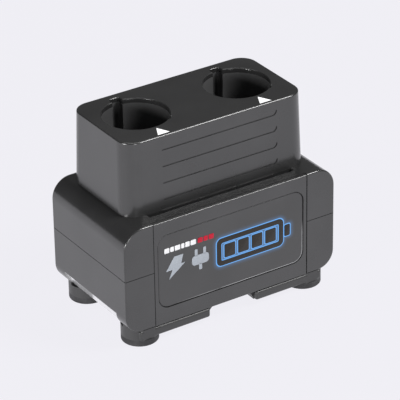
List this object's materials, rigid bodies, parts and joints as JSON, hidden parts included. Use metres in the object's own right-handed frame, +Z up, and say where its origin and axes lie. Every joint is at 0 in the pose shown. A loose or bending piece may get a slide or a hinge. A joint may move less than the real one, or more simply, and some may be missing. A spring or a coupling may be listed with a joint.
{
  "type": "battery charging base",
  "caption": "Desk-top charging base for clipper battery packs: a low housing on round feet with a tower of keyed wells, sprung contacts and a lit front badge.",
  "frame": {"origin": "on the standing surface, under the middle of the housing", "axes": "+X along the front to the right, +Y to the rear, +Z up"},
  "size_m": [0.116, 0.0644, 0.0988],
  "materials": {
    "housing_plastic": "fine satin moulded plastic, charcoal",
    "tower_plastic": "fine satin moulded plastic, charcoal, glossy on top",
    "panel_plastic": "satin moulded plastic, charcoal",
    "badge_plastic": "fine satin plate with printed and lit marks",
    "cup_plastic": "black moulded plastic",
    "light_acrylic": "milky light-spreading acrylic",
    "smoked_acrylic": "smoked acrylic light bar",
    "circuit_board": "green solder mask",
    "led_lens": "clear epoxy over yellow phosphor",
    "screw_steel": "zinc-plated steel",
    "ballast_steel": "phosphated steel plate",
    "capacitor_sleeve": "dark shrink sleeve",
    "coil_ferrite": "sintered ferrite",
    "chip_epoxy": "black epoxy package",
    "sink_aluminium": "extruded aluminium",
    "socket_nylon": "natural nylon",
    "jack_plastic": "black nylon",
    "contact_metal": "gold-plated brass",
    "spring_steel": "drawn spring steel",
    "foot_rubber": "matt black rubber",
    "label_foil": "plain silver foil",
    "wire_sleeve": "silicone wire sleeve",
    "arrow_ink": "white inlay"
  },
  "bodies": {
    "charging_base": {"lower_shell": "housing_plastic", "upper_shell": "housing_plastic", "tower_shell": "tower_plastic", "front_panel": "panel_plastic", "badge_plate": "badge_plastic", "badge_diffuser": "light_acrylic", "badge_light_board": "circuit_board", "badge_lights": "led_lens", "badge_screws": "screw_steel", "light_bar": "smoked_acrylic", "strip_light_board": "circuit_board", "strip_lights": "led_lens", "strip_screws": "screw_steel", "contact_screws": "screw_steel", "housing_screws": "screw_steel", "tower_screws": "screw_steel", "ballast_plate": "ballast_steel", "ballast_washers": "screw_steel", "ballast_screws": "screw_steel", "main_board": "circuit_board", "board_screws": "screw_steel", "capacitors": "capacitor_sleeve", "charge_coils": "coil_ferrite", "control_chips": "chip_epoxy", "heat_sink": "sink_aluminium", "board_sockets": "socket_nylon", "power_jack": "jack_plastic", "power_jack_pin": "contact_metal", "rating_label": "label_foil", "bay_cup_left": "cup_plastic", "contact_block_left": "cup_plastic", "contact_board_left": "circuit_board", "bay_harness_left": "wire_sleeve", "alignment_arrow_left": "arrow_ink", "foot_front_left": "foot_rubber", "foot_rear_left": "foot_rubber", "bay_cup_right": "cup_plastic", "contact_block_right": "cup_plastic", "contact_board_right": "circuit_board", "bay_harness_right": "wire_sleeve", "alignment_arrow_right": "arrow_ink", "foot_front_right": "foot_rubber", "foot_rear_right": "foot_rubber", "rear_panel": "panel_plastic", "skid_front_left": "housing_plastic", "skid_rear_left": "housing_plastic", "skid_front_right": "housing_plastic", "skid_rear_right": "housing_plastic"},
    "pin_left_1": {"contact_pin_left_1": "contact_metal", "contact_spring_left_1": "spring_steel"},
    "pin_left_2": {"contact_pin_left_2": "contact_metal", "contact_spring_left_2": "spring_steel"},
    "pin_left_3": {"contact_pin_left_3": "contact_metal", "contact_spring_left_3": "spring_steel"},
    "pin_right_1": {"contact_pin_right_1": "contact_metal", "contact_spring_right_1": "spring_steel"},
    "pin_right_2": {"contact_pin_right_2": "contact_metal", "contact_spring_right_2": "spring_steel"},
    "pin_right_3": {"contact_pin_right_3": "contact_metal", "contact_spring_right_3": "spring_steel"}
  },
  "joints": [
    {"name": "pin_press_left_1", "type": "slide", "parent": "charging_base", "child": "pin_left_1", "axis": [0, 0, -1], "range_m": [0, 0.0015], "stiffness_N_per_m": 250, "springref_m": -0.002, "deforming": ["contact_spring_left_1"]},
    {"name": "pin_press_left_2", "type": "slide", "parent": "charging_base", "child": "pin_left_2", "axis": [0, 0, -1], "range_m": [0, 0.0015], "stiffness_N_per_m": 250, "springref_m": -0.002, "deforming": ["contact_spring_left_2"]},
    {"name": "pin_press_left_3", "type": "slide", "parent": "charging_base", "child": "pin_left_3", "axis": [0, 0, -1], "range_m": [0, 0.0015], "stiffness_N_per_m": 250, "springref_m": -0.002, "deforming": ["contact_spring_left_3"]},
    {"name": "pin_press_right_1", "type": "slide", "parent": "charging_base", "child": "pin_right_1", "axis": [0, 0, -1], "range_m": [0, 0.0015], "stiffness_N_per_m": 250, "springref_m": -0.002, "deforming": ["contact_spring_right_1"]},
    {"name": "pin_press_right_2", "type": "slide", "parent": "charging_base", "child": "pin_right_2", "axis": [0, 0, -1], "range_m": [0, 0.0015], "stiffness_N_per_m": 250, "springref_m": -0.002, "deforming": ["contact_spring_right_2"]},
    {"name": "pin_press_right_3", "type": "slide", "parent": "charging_base", "child": "pin_right_3", "axis": [0, 0, -1], "range_m": [0, 0.0015], "stiffness_N_per_m": 250, "springref_m": -0.002, "deforming": ["contact_spring_right_3"]}
  ]
}
